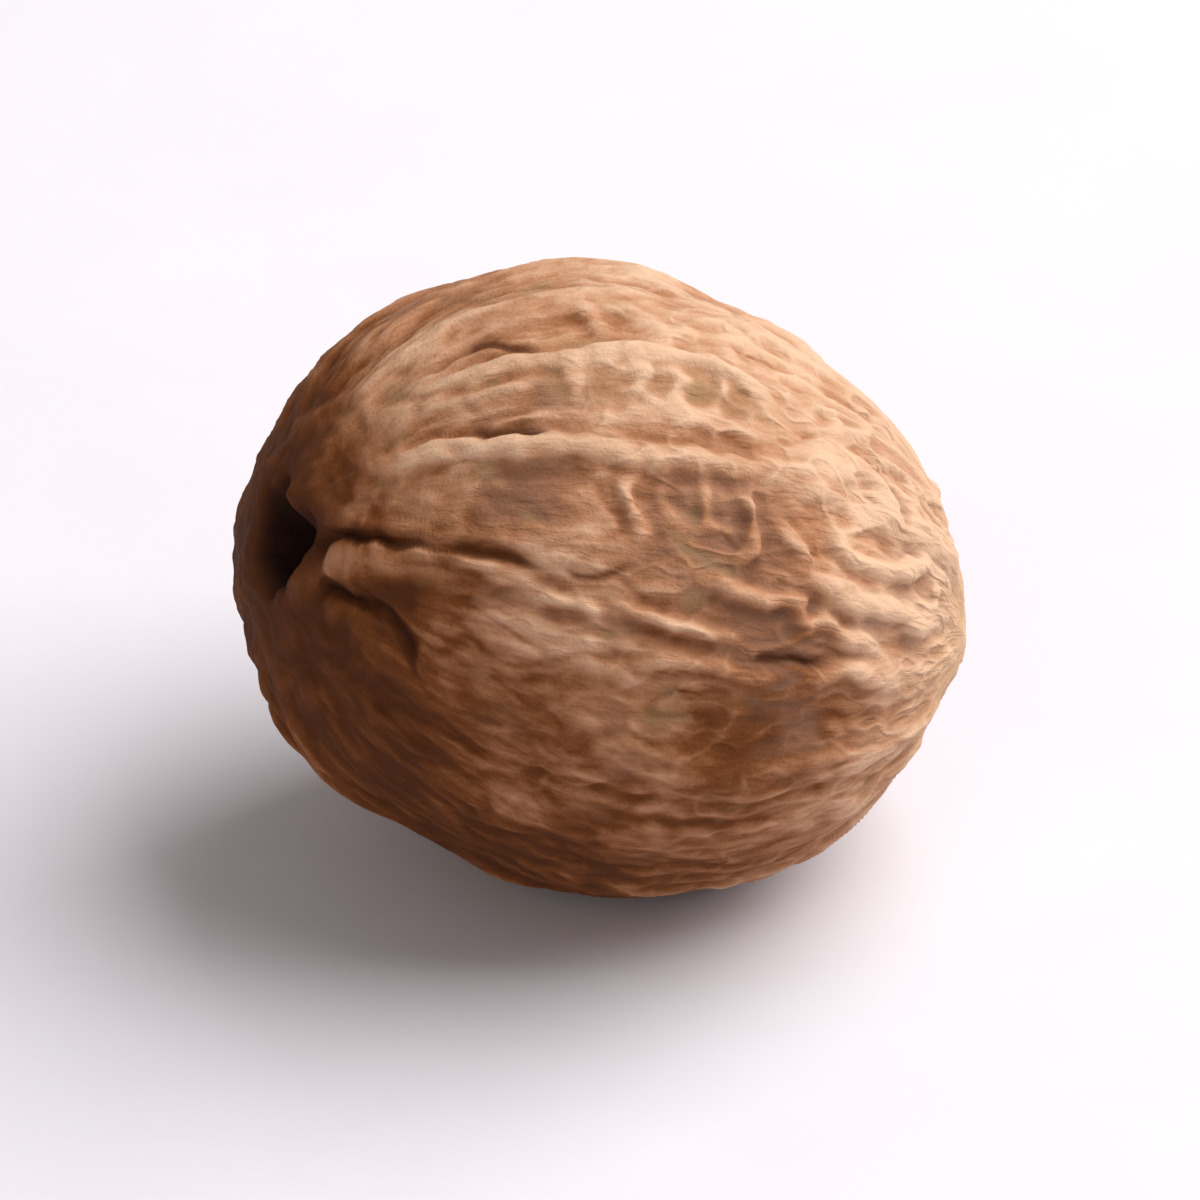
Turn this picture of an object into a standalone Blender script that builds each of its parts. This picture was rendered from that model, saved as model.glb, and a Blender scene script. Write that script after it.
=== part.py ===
"""A whole nutmeg: the dried seed of Myristica fragrans, lying on its side.

One solid, in metres, +Z up, standing on z = 0. In the seed's own frame its ribs run along X,
from the chalaza, a pit near the -X end, to the hilum, a low boss near the +X end. All shapes
are worked out there, on unit directions from the seed's middle. The body's longest diameter
leans a little from the ribs, and the seed lies with its chalaza end raised.
"""

import math

import bmesh
import bpy
import numpy as np
from mathutils import Matrix, Vector

# Driving dimensions, in metres.
LENGTH = 0.0256
DEPTH = 0.0216
HEIGHT = 0.0215
REST_SPOT_RADIUS = 0.0025
GRID = 28

# In degrees: how the ribs lie in the world, how the body leans from the ribs, and how far
# from the rest spot's middle the relief starts and is whole.
LIE = {"pitch": 14.3, "yaw": 9.1}
LEAN = {"pitch": 2.1, "yaw": -13.7}
SMOOTH_ROUND_SPOT = (15.0, 38.0)

# Relief, in metres, and the azimuth of one rib's crest.
RIB_COUNT = 18
RIB_HEIGHT = 0.00046
RIB_CREST_AT = 59.0
RIDGE_HEIGHT = 0.00017
RIDGE_SPACING = 0.0030
PIT_DEPTH = 0.0017
PIT_WIDTH = 0.0016
HILUM_RISE = 0.00034
HILUM_RADIUS = 0.0024

# Where the chalaza and the hilum lie, as (polar angle from -X, azimuth), in degrees. Azimuth
# is measured round the ribs' axis, 0 to the front (-Y), 90 to the top.
CHALAZA = (11.0, 40.0)
HILUM = (176.0, 20.0)
GATHER = 38.0

# Broad dents and swellings: (polar angle, azimuth, angular width, rise in metres).
LOBES = (
    (80.0, 117.0, 27.0, 0.00024),
    (120.0, 103.0, 18.0, -0.00038),
    (157.0, 52.0, 20.0, 0.00020),
    (32.0, 130.0, 14.0, 0.00010),
    (18.0, 140.0, 12.0, -0.00026),
    (37.0, -60.0, 18.0, 0.00034),
    (61.0, -55.0, 18.0, -0.00018),
    (100.0, -32.0, 26.0, 0.00016),
    (70.0, 185.0, 26.0, -0.00026),
    (120.0, 215.0, 30.0, 0.00028),
)

# Long furrows: ((polar angle, azimuth) points, half width, depth), in degrees and metres.
FURROWS = (
    (((18, 37), (30, 38), (44, 37), (60, 37), (78, 35), (96, 33)), 0.00080, 0.00058),
    (((25, 19), (34, 20), (42, 19), (48, 4)), 0.00075, 0.00034),
    (((54, 88), (62, 86), (73, 84)), 0.00070, 0.00026),
    (((30, 196), (62, 188), (100, 192), (140, 184)), 0.00085, 0.00050),
    (((34, 150), (70, 142), (112, 147)), 0.00080, 0.00034),
)

HALF_SIZE = np.array([LENGTH, DEPTH, HEIGHT]) / 2
NUTMEG_BROWN = (0.36, 0.19, 0.105, 1.0)


def direction(polar, azimuth):
    """Unit direction in the seed's own frame, from degrees."""
    polar, azimuth = math.radians(polar), math.radians(azimuth)
    round_axis = math.sin(polar)
    return np.array(
        [-math.cos(polar), -round_axis * math.cos(azimuth), round_axis * math.sin(azimuth)]
    )


def angle_to(directions, target):
    """Angle in radians between each direction and a target direction."""
    return np.arccos(np.clip(directions @ target, -1.0, 1.0))


def bell(distance, width):
    """One at no distance, falling smoothly to nothing past twice the width."""
    return np.exp(-((distance / width) ** 2))


def smooth_step(low, high, value):
    """Nothing at low, one at high, eased between; low may be the larger."""
    share = np.clip((value - low) / (high - low), 0.0, 1.0)
    return share * share * (3 - 2 * share)


def turned(pitch, yaw):
    """The rotation that dips +X by the pitch and then turns about the vertical by the yaw."""
    dip = Matrix.Rotation(math.radians(pitch), 3, "Y")
    return np.array(Matrix.Rotation(math.radians(yaw), 3, "Z") @ dip)


def gathered(directions):
    """Directions shifted near both ends, so that what runs to the poles meets at the
    chalaza and at the hilum instead."""
    shifted = directions
    for mark, pole in ((CHALAZA, (-1, 0, 0)), (HILUM, (1, 0, 0))):
        near = bell(angle_to(directions, direction(*mark)), math.radians(GATHER))
        shifted = shifted - near[:, None] * (direction(*mark) - pole)
    return shifted / np.linalg.norm(shifted, axis=1)[:, None]


def along_and_round(directions):
    """The cosine from the chalaza end to the hilum end, and the azimuth, of the ribs' frame."""
    rib_wise = gathered(directions)
    return rib_wise[:, 0], np.arctan2(rib_wise[:, 2], -rib_wise[:, 1])


def ovoid_radius(directions):
    """The plain body: a leaning ovoid with a few broad dents and swellings."""
    radius = 1 / np.linalg.norm(directions @ turned(**LEAN) / HALF_SIZE, axis=1)
    for polar, azimuth, width, rise in LOBES:
        away = angle_to(directions, direction(polar, azimuth))
        radius = radius + rise * bell(away, math.radians(width))
    return radius


def ribs(directions):
    """Long narrow ribs that wander from end to end and fade out towards both."""
    x, azimuth = along_and_round(directions)
    wander = (
        0.6 * np.sin(1.9 * x + 2 * azimuth + 0.6)
        + 0.5 * np.sin(3.3 * x - 3 * azimuth + 1.9)
        + 0.4 * np.sin(5.6 * x + 5 * azimuth + 0.3)
    )
    crest = 0.5 + 0.5 * np.cos(RIB_COUNT * (azimuth - math.radians(RIB_CREST_AT)) + wander)
    strength = 0.70 + 0.30 * np.sin(2 * azimuth + 1.7 * x - 0.3)
    fade = smooth_step(0.22, 0.70, np.sqrt(1 - x * x))
    return RIB_HEIGHT * strength * fade * (crest**1.5 - 0.5)


def cross_ridges(directions):
    """Shorter ridges across the ribs, strongest towards the hilum end."""
    x, azimuth = along_and_round(directions)
    staggered = 1.6 * np.sin(RIB_COUNT / 2 * azimuth + 0.8)
    wander = 1.9 * np.sin(4 * azimuth + 2.2 * x) + 1.5 * np.sin(7 * azimuth - 3.1 * x + 1.0)
    wave = np.cos(math.pi * LENGTH / RIDGE_SPACING * x + staggered + wander)
    strength = smooth_step(-0.25, 0.6, x) * smooth_step(0.99, 0.85, x)
    return RIDGE_HEIGHT * strength * wave


def spline(points, steps=12):
    """A smooth curve through (polar, azimuth) points, as unit directions."""
    knots = np.array([direction(*p) for p in points])
    knots = np.vstack([2 * knots[0] - knots[1], knots, 2 * knots[-1] - knots[-2]])
    curve = []
    for a, b, c, d in zip(knots, knots[1:], knots[2:], knots[3:]):
        for t in np.arange(steps) / steps:
            linear = (c - a) * t
            square = (2 * a - 5 * b + 4 * c - d) * t**2
            cubic = (3 * b - a - 3 * c + d) * t**3
            curve.append(b + 0.5 * (linear + square + cubic))
    curve = np.array(curve + [knots[-2]])
    return curve / np.linalg.norm(curve, axis=1)[:, None]


def furrow(directions, points, half_width, depth):
    """A groove along a curve, with low lips, that runs out at its ends."""
    curve = spline(points)
    nearness = directions @ curve.T
    away = np.arccos(np.clip(nearness.max(axis=1), -1, 1)) * DEPTH / 2
    along = nearness.argmax(axis=1) / (len(curve) - 1)
    runs_out = smooth_step(0.0, 0.20, along) * smooth_step(1.0, 0.70, along)
    groove = bell(away, half_width)
    lips = bell(away - 2 * half_width, half_width)
    return depth * runs_out * (0.3 * lips - groove)


def chalaza_pit(directions):
    """The pit at the seed's raised end, with a low brim."""
    away = angle_to(directions, direction(*CHALAZA)) * DEPTH / 2
    brim = bell(away - 1.7 * PIT_WIDTH, 0.8 * PIT_WIDTH)
    return 0.16 * PIT_DEPTH * brim - PIT_DEPTH * bell(away, PIT_WIDTH)


def hilum_boss(directions):
    """A low round boss with a shallow ring round it and a dimple in its middle."""
    away = angle_to(directions, direction(*HILUM)) * DEPTH / 2
    boss = bell(away, HILUM_RADIUS)
    ring = bell(away - 1.5 * HILUM_RADIUS, 0.5 * HILUM_RADIUS)
    dimple = bell(away, 0.35 * HILUM_RADIUS)
    return HILUM_RISE * (boss - 0.5 * ring - 0.7 * dimple)


def lowest_direction():
    """The direction, in the seed's own frame, of the point that the lying ovoid rests on."""
    down = (turned(**LIE) @ turned(**LEAN)).T @ (0, 0, -1)
    lowest = turned(**LEAN) @ (HALF_SIZE**2 * down)
    return lowest / np.linalg.norm(lowest)


def relief(directions):
    """All that is raised on or sunk in the ovoid, in metres, smoothed away where it rests."""
    depth = ribs(directions) + cross_ridges(directions)
    depth = depth + chalaza_pit(directions) + hilum_boss(directions)
    for points, half_width, groove_depth in FURROWS:
        depth = depth + furrow(directions, points, half_width, groove_depth)
    inner, outer = np.radians(SMOOTH_ROUND_SPOT)
    return depth * smooth_step(inner, outer, angle_to(directions, lowest_direction()))


def surface(directions):
    """Points of the finished surface, in the seed's own frame."""
    return directions * (ovoid_radius(directions) + relief(directions))[:, None]


def cube_sphere(grid):
    """A sphere mesh of even quads: a cube's grid, eased so that its cells keep their size."""
    mesh = bmesh.new()
    bmesh.ops.create_cube(mesh, size=2.0)
    bmesh.ops.subdivide_edges(mesh, edges=mesh.edges[:], cuts=grid - 1, use_grid_fill=True)
    for vertex in mesh.verts:
        vertex.co = Vector(math.tan(c * math.pi / 4) for c in vertex.co).normalized()
    return mesh


def cut_flat(mesh, height):
    """Take off everything below a height and close the cut with one flat face."""
    cut = bmesh.ops.bisect_plane(
        mesh,
        geom=mesh.verts[:] + mesh.edges[:] + mesh.faces[:],
        plane_co=(0, 0, height),
        plane_no=(0, 0, -1),
        clear_outer=True,
    )
    rim = [e for e in cut["geom_cut"] if isinstance(e, bmesh.types.BMEdge)]
    bmesh.ops.holes_fill(mesh, edges=rim)


def nutmeg_mesh():
    """The whole seed as it lies, cut flat where it rests, its box's base centred at the origin."""
    mesh = cube_sphere(GRID)
    lying = surface(np.array([v.co for v in mesh.verts])) @ turned(**LIE).T
    for vertex, point in zip(mesh.verts, lying):
        vertex.co = point
    bmesh.ops.triangulate(mesh, faces=mesh.faces[:], quad_method="SHORT_EDGE")
    cut_flat(mesh, lying[:, 2].min() + REST_SPOT_RADIUS**2 / HEIGHT)
    low = np.min([v.co for v in mesh.verts], axis=0)
    high = np.max([v.co for v in mesh.verts], axis=0)
    middle = Vector(((low[0] + high[0]) / 2, (low[1] + high[1]) / 2, low[2]))
    bmesh.ops.translate(mesh, verts=mesh.verts, vec=-middle)
    bmesh.ops.recalc_face_normals(mesh, faces=mesh.faces)
    return mesh


def skin_material():
    """The plain brown of the dried seed coat."""
    material = bpy.data.materials.new("nutmeg_skin")
    material.use_nodes = True
    shader = material.node_tree.nodes["Principled BSDF"]
    shader.inputs["Base Color"].default_value = NUTMEG_BROWN
    shader.inputs["Roughness"].default_value = 0.7
    shader.inputs["Metallic"].default_value = 0.0
    return material


def build():
    """Clear the scene and make the one solid."""
    for thing in list(bpy.data.objects):
        bpy.data.objects.remove(thing)
    built = nutmeg_mesh()
    data = bpy.data.meshes.new("nutmeg")
    built.to_mesh(data)
    built.free()
    data.shade_smooth()
    data.set_sharp_from_angle(angle=math.radians(60))
    data.materials.append(skin_material())
    nutmeg = bpy.data.objects.new("nutmeg", data)
    bpy.context.scene.collection.objects.link(nutmeg)


build()
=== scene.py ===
"""The finish of a whole dried nutmeg: its ribbed, veined and wrinkled seed coat, on a pale floor.

The seed's form follows the same sizes as its solid. In the seed's own frame its ribs run along
X, from the chalaza, a pit near the -X end made near black with painted shade, to the hilum, a pale
boss near the +X end. A place on it is a polar angle from -X and an azimuth round X, 0 to the front and 90 to the
top.
"""

import math

import bmesh
import bpy
import numpy as np
from bpy.props import FloatProperty, FloatVectorProperty, IntProperty, PointerProperty
from mathutils import Matrix, Vector


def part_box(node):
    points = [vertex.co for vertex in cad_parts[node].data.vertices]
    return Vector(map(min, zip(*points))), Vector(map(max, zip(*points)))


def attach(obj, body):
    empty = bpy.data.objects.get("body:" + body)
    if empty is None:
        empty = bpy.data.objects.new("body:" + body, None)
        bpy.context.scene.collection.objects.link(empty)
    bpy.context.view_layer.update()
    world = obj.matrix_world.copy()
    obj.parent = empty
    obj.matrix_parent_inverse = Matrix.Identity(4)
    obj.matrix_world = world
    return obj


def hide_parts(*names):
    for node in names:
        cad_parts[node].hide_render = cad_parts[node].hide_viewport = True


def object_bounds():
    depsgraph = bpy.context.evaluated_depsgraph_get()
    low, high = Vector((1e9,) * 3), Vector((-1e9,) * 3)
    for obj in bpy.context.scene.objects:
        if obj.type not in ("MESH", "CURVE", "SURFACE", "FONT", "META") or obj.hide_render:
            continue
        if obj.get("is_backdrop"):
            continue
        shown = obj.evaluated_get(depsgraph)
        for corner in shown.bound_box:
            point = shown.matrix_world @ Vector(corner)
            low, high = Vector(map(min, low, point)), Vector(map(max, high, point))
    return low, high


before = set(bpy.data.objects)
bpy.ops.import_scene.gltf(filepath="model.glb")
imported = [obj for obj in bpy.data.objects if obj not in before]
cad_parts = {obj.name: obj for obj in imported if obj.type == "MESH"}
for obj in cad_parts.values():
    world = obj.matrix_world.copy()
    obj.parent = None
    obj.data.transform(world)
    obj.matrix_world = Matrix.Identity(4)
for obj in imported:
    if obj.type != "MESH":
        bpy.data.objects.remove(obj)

bl_info = {
    "name": "Whole Nutmeg",
    "version": (1, 0, 0),
    "blender": (4, 5, 0),
    "location": "3D View > Sidebar > Nutmeg",
    "description": "Grows a dried nutmeg's ribbed and veined seed coat and sets a plain studio",
    "category": "Object",
}

CAD_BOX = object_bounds()

# In degrees: how the ribs lie in the world, how the body leans from the ribs, how far from the
# rest spot's middle the relief starts and is whole, and how widely the ribs gather at an end.
LIE = {"pitch": 14.3, "yaw": 9.1}
LEAN = {"pitch": 2.1, "yaw": -13.7}
SMOOTH_ROUND_SPOT = (16.0, 46.0)
GATHER = 38.0

# Places on the seed, as (polar angle, azimuth) in degrees. Round the last one, on the upper side
# toward the key light, painted light makes the coat palest; painted shade darkens the far side.
CHALAZA = (11.0, 40.0)
HILUM = (176.0, 20.0)
PAINTED_LIGHT_CENTRE = (128.0, 86.0)

# Broad dents and swellings: (polar angle, azimuth, angular width, rise in metres).
LOBES = (
    (80.0, 117.0, 27.0, 0.00024),
    (120.0, 103.0, 18.0, -0.00038),
    (157.0, 52.0, 20.0, 0.00020),
    (32.0, 130.0, 14.0, 0.00010),
    (18.0, 140.0, 12.0, -0.00026),
    (37.0, -60.0, 18.0, 0.00034),
    (61.0, -55.0, 18.0, -0.00018),
    (100.0, -32.0, 26.0, 0.00016),
    (70.0, 185.0, 26.0, -0.00026),
    (120.0, 215.0, 30.0, 0.00028),
    (30.0, 29.0, 6.0, 0.00030),
    (21.0, 40.0, 6.0, -0.00035),
    (126.0, 58.0, 4.0, -0.00045),
)

# Furrows: ((polar angle, azimuth) points, half width, depth, how dark their skin and painted shade are), in
# degrees and metres.
FURROWS = (
    (((13, 39), (18, 40), (22, 40), (27, 41)), 0.00050, 0.00050, 0.55),
    (((21, 40), (27, 41), (33, 39), (40, 37), (50, 37)), 0.00017, 0.00042, 0.90),
    (((45, 38), (52, 36), (58, 36), (63, 34), (72, 35)), 0.00017, 0.00026, 0.45),
    (((68, 35), (75, 34), (80, 36), (86, 34)), 0.00016, 0.00020, 0.35),
    (((23, 20), (28, 19), (32, 19), (37, 18)), 0.00031, 0.00044, 1.0),
    (((30, 19), (36, 19), (40, 16), (43, 11), (45, 5), (46, 1)), 0.00028, 0.00036, 0.90),
    (((52, 89), (57, 88), (62, 85), (70, 85)), 0.00020, 0.00026, 0.50),
    (((50, 66), (57, 64), (63, 62), (70, 60)), 0.00020, 0.00022, 0.40),
    (((104, 21), (112, 23), (118, 22), (125, 23)), 0.00024, 0.00034, 0.40),
    (((30, 196), (62, 188), (100, 192), (140, 184)), 0.00030, 0.00050, 0.60),
    (((34, 150), (70, 142), (112, 147)), 0.00028, 0.00034, 0.50),
    (((26, -70), (48, -76), (80, -70)), 0.00028, 0.00034, 0.60),
)

# Single ridges: ((polar angle, azimuth) points, half width, rise), in degrees and metres.
RIDGES = (
    (((24, 62), (40, 60), (51, 61), (75, 58), (98, 58), (116, 58), (132, 62)), 0.00032, 0.00026),
    (((34, 90), (44, 82), (57, 80), (79, 81), (91, 81), (102, 79), (107, 74), (112, 68)),
     0.00030, 0.00025),
    (((58, 68), (75, 67), (87, 67), (100, 66), (112, 63)), 0.00042, 0.00016),
    (((71, 84), (69, 78), (73, 67)), 0.00026, 0.00008),
    (((80, 84), (82, 76), (79, 66)), 0.00023, 0.00010),
    (((88, 81), (90, 74), (87, 68)), 0.00026, 0.00008),
    (((95, 83), (98, 76), (94, 66)), 0.00024, 0.00009),
    (((81, 58), (79, 51), (81, 45), (83, 37)), 0.00026, 0.00015),
    (((87, 56), (86, 51), (88, 45)), 0.00024, 0.00006),
    (((93, 57), (94, 50), (95, 43)), 0.00024, 0.00009),
    (((99, 58), (103, 50), (102, 42), (98, 38)), 0.00026, 0.00026),
    (((105, 50), (112, 45), (114, 39)), 0.00028, 0.00020),
    (((119, 55), (121, 48), (126, 44), (136, 44), (143, 49), (152, 52)), 0.00030, 0.00030),
    (((122, 67), (130, 64), (133, 57), (126, 51)), 0.00030, 0.00022),
    (((88, 40), (97, 35), (104, 33), (111, 34), (115, 29), (113, 22)), 0.00028, 0.00032),
    (((107, 40), (118, 36), (128, 34), (140, 32), (154, 36)), 0.00031, 0.00032),
    (((74, 28), (84, 27), (92, 27), (101, 26), (108, 29)), 0.00027, 0.00026),
    (((108, 25), (118, 29), (126, 28), (138, 27)), 0.00028, 0.00030),
    (((114, 17), (124, 21), (136, 19)), 0.00027, 0.00026),
    (((80, 17), (89, 20), (97, 21), (104, 17)), 0.00026, 0.00024),
    (((44, 31), (52, 33), (60, 31), (68, 29)), 0.00026, 0.00014),
    (((14, 2), (18, 14), (23, 24), (29, 30), (36, 31), (44, 33), (52, 33)), 0.00044, 0.00016),
    (((72, 99), (75, 92), (79, 84)), 0.00028, 0.00010),
    (((79, 98), (84, 92), (91, 88)), 0.00028, 0.00009),
    (((62, 27), (68, 29), (74, 28), (76, 24)), 0.00026, 0.00014),
)

# Hollows with a dull olive skin, and purplish patches, as (polar angle, azimuth, width).
MOSSY_SPOTS = ((66, 74, 4.5), (75.5, 74, 4.2), (84.5, 74, 4), (92.5, 74.5, 4), (101, 73, 5))
DUSKY_SPOTS = ((96, 45, 15), (60, 48, 9), (110, 26, 13))

# Smoother patches, as (polar angle, azimuth, width).
SMOOTH_SPOTS = ((72, -10, 30), (58, 49, 11), (96, 48, 10))

# Paler and darker patches; the darker ones at (112, 8), (40, -22) and (86, -30) are painted shade
# on the lower side: (polar angle, azimuth, width, change of tone).
PATCHES_AND_PAINTED_SHADE = (
    (29, 29, 6, 0.16),
    (42, 60, 18, 0.24),
    (66, 28, 13, 0.31),
    (53, 10, 12, 0.20),
    (74, 8, 14, 0.05),
    (110, 39, 12, -0.12),
    (83, 77, 16, 0.03),
    (42, 95, 12, 0.12),
    (136, 40, 16, 0.12),
    # Painted shade on the lower right.
    (112, 8, 18, -0.34),
    # Painted shade on the lower left.
    (40, -22, 17, -0.16),
    (68, -13, 13, 0.13),
    # Painted shade on the bottom.
    (86, -30, 16, -0.12),
    (92, 47, 8, -0.10),
)

FILL_TINT = (1.0, 0.86, 0.72)
SKY_TINT = (1.0, 0.96, 0.96)

# The rise, in metres, from which a single ridge is fully pale, and the pattern of the main ribs.
BOLD_RISE = 0.00030
MAIN_RIB_COUNT = 18
MAIN_RIB_AT = 59.0
STRIPES_PER_CELL = 2.2


class NutmegShape(bpy.types.PropertyGroup):
    """The seed's overall sizes."""

    length: FloatProperty(
        name="Length", description="Longest diameter", default=0.0256, min=0.001, unit="LENGTH"
    )
    depth: FloatProperty(
        name="Depth", description="Diameter from front to back",
        default=0.0216, min=0.001, unit="LENGTH",
    )
    height: FloatProperty(
        name="Height", description="Diameter from foot to top",
        default=0.0215, min=0.001, unit="LENGTH",
    )
    pit_depth: FloatProperty(
        name="Pit Depth", description="Depth of the chalaza pit",
        default=0.0022, min=0.0, unit="LENGTH",
    )
    pit_radius: FloatProperty(
        name="Pit Radius", description="Radius of the chalaza pit",
        default=0.00115, min=0.0001, unit="LENGTH",
    )
    hilum_rise: FloatProperty(
        name="Hilum Rise", description="Height of the hilum boss",
        default=0.00034, min=0.0, unit="LENGTH",
    )
    hilum_radius: FloatProperty(
        name="Hilum Radius", description="Radius of the hilum boss",
        default=0.0022, min=0.0001, unit="LENGTH",
    )
    cells: IntProperty(
        name="Cells", description="Mesh cells along a cube face's edge", default=128, min=8, max=128
    )


class NutmegRelief(bpy.types.PropertyGroup):
    """Heights and spacings of what repeats over the seed coat. Each is an input of its tree."""

    rib_height: FloatProperty(
        name="Rib Height", description="Height of the long main ribs", default=0.00039, unit="LENGTH"
    )
    vein_height: FloatProperty(
        name="Vein Height", description="Height of the long veins", default=0.00015, unit="LENGTH"
    )
    vein_spacing: FloatProperty(
        name="Vein Spacing", description="Distance between long veins",
        default=0.00098, unit="LENGTH",
    )
    net_height: FloatProperty(
        name="Net Height", description="Height of the winding network",
        default=0.00019, unit="LENGTH",
    )
    net_spacing: FloatProperty(
        name="Net Spacing", description="Width of the network's cells",
        default=0.00165, unit="LENGTH",
    )
    wander: FloatProperty(
        name="Wander", description="How far ribs and veins stray from straight",
        default=0.0016, unit="LENGTH",
    )
    crease_depth: FloatProperty(
        name="Crease Depth", description="Depth of the narrow winding creases",
        default=0.00008, unit="LENGTH",
    )
    crease_spacing: FloatProperty(
        name="Crease Spacing", description="Distance between winding creases",
        default=0.00120, unit="LENGTH",
    )
    fold_height: FloatProperty(
        name="Fold Height", description="Height of the uneven folds round both ends",
        default=0.0007, unit="LENGTH",
    )
    wrinkle_height: FloatProperty(
        name="Wrinkle Height", description="Height of the fine wrinkles",
        default=0.00006, unit="LENGTH",
    )


def colour_setting(name, description, default):
    """A colour that a user may change."""
    return FloatVectorProperty(
        name=name, description=description, default=default, subtype="COLOR", min=0.0, max=1.0
    )


class NutmegColours(bpy.types.PropertyGroup):
    """Colours of the seed coat and of the floor."""

    crest: colour_setting("Crest", "Pale tan of the raised veins", (0.64, 0.41, 0.268))
    coat: colour_setting("Coat", "Mid brown of the open coat", (0.422, 0.198, 0.102))
    # The deep coat is the coat's darker red-brown and also painted shade on its lower side.
    deep: colour_setting("Deep Coat", "Red-brown of the darker side", (0.181, 0.056, 0.014))
    # The valley colour is the coat's dark red-brown and also painted shade beside ridges, in furrows and round
    # the pit.
    valley: colour_setting("Valley", "Dark red-brown between the veins", (0.082, 0.024, 0.007))
    # The pit colour is near-black painted shade in the pit and the deepest slits.
    pit: colour_setting("Pit", "Near black of the pit and the deep slits", (0.018, 0.006, 0.0035))
    hilum: colour_setting("Hilum", "Yellowish cream of the hilum end", (0.70, 0.49, 0.30))
    dusk: colour_setting("Dusk", "Greyish purple of the dull patches", (0.27, 0.145, 0.095))
    moss: colour_setting("Moss", "Greyish olive of some hollows", (0.26, 0.165, 0.080))
    floor: colour_setting("Floor", "Pale floor", (0.72, 0.695, 0.735))


class NutmegStudio(bpy.types.PropertyGroup):
    """The camera's place and the strength of the lights."""

    elevation: FloatProperty(
        name="Elevation", description="Camera's height angle",
        default=math.radians(35), subtype="ANGLE",
    )
    azimuth: FloatProperty(
        name="Azimuth", description="Camera's turn round the seed", default=0.0, subtype="ANGLE"
    )
    distance: FloatProperty(
        name="Distance", description="Camera to seed", default=0.45, min=0.05, unit="LENGTH"
    )
    view_width: FloatProperty(
        name="View Width", description="Width of what is seen at the seed",
        default=0.042, unit="LENGTH",
    )
    key_power: FloatProperty(
        name="Key Power", description="Power of the soft key light",
        default=7.4, min=0.0, subtype="POWER",
    )
    fill_power: FloatProperty(
        name="Fill Power", description="Power of the soft front fill",
        default=0.8, min=0.0, subtype="POWER",
    )
    sky: FloatProperty(
        name="Sky", description="Strength of the even light from all round", default=0.32, min=0.0
    )


def direction(polar, azimuth):
    """Unit direction in the seed's own frame, from degrees."""
    polar, azimuth = math.radians(polar), math.radians(azimuth)
    round_axis = math.sin(polar)
    return np.array(
        [-math.cos(polar), -round_axis * math.cos(azimuth), round_axis * math.sin(azimuth)]
    )


def angle_to(directions, target):
    """Angle in radians between each direction and a target direction."""
    return np.arccos(np.clip(directions @ target, -1.0, 1.0))


def bell(distance, width):
    """One at no distance, falling smoothly to nothing past twice the width."""
    return np.exp(-((distance / width) ** 2))


def mound(distance, half_width):
    """A rounded rise with a crease at its foot: one at no distance, nothing beyond its foot."""
    return np.maximum(1.0 - (distance / (1.5 * half_width)) ** 2, 0.0)


def smooth_step(low, high, value):
    """Nothing at low, one at high, eased between; low may be the larger."""
    share = np.clip((value - low) / (high - low), 0.0, 1.0)
    return share * share * (3 - 2 * share)


def turned(pitch, yaw):
    """The rotation that dips +X by the pitch and then turns about the vertical by the yaw."""
    dip = Matrix.Rotation(math.radians(pitch), 3, "Y")
    return np.array(Matrix.Rotation(math.radians(yaw), 3, "Z") @ dip)


def gathered(directions):
    """Directions shifted near both ends, so that what runs to the poles meets at the
    chalaza and at the hilum instead."""
    shifted = directions
    for mark, pole in ((CHALAZA, (-1, 0, 0)), (HILUM, (1, 0, 0))):
        near = bell(angle_to(directions, direction(*mark)), math.radians(GATHER))
        shifted = shifted - near[:, None] * (direction(*mark) - pole)
    return shifted / np.linalg.norm(shifted, axis=1)[:, None]


def spline(points, steps=12):
    """A smooth curve through (polar, azimuth) points, as unit directions."""
    knots = np.array([direction(*p) for p in points])
    knots = np.vstack([2 * knots[0] - knots[1], knots, 2 * knots[-1] - knots[-2]])
    curve = []
    for a, b, c, d in zip(knots, knots[1:], knots[2:], knots[3:]):
        for t in np.arange(steps) / steps:
            linear = (c - a) * t
            square = (2 * a - 5 * b + 4 * c - d) * t**2
            cubic = (3 * b - a - 3 * c + d) * t**3
            curve.append(b + 0.5 * (linear + square + cubic))
    curve = np.array(curve + [knots[-2]])
    return curve / np.linalg.norm(curve, axis=1)[:, None]


def swayed(directions, amount):
    """Directions pushed to and fro by up to twice an angle in radians, so that what is drawn on
    them is never even."""
    x, y, z = directions.T
    push = [
        np.sin(21 * y + 9 * z + 1.3) + 0.6 * np.sin(47 * z - 31 * x + 0.4),
        np.sin(23 * z + 8 * x + 2.1) + 0.6 * np.sin(51 * x - 29 * y + 1.7),
        np.sin(19 * x + 11 * y + 4.0) + 0.6 * np.sin(43 * y - 33 * z + 2.9),
    ]
    pushed = directions + amount * np.stack(push, axis=1)
    return pushed / np.linalg.norm(pushed, axis=1)[:, None]


def patchiness(directions):
    """A patchy value from 0 to 1, to swell and thin what is drawn."""
    x, y, z = directions.T
    coarse = np.sin(17 * x + 12 * y + 0.7) + np.sin(27 * z - 19 * x + 2.2)
    return 0.5 + 0.20 * coarse + 0.10 * np.sin(61 * x + 38 * z + 44 * y)


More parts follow.
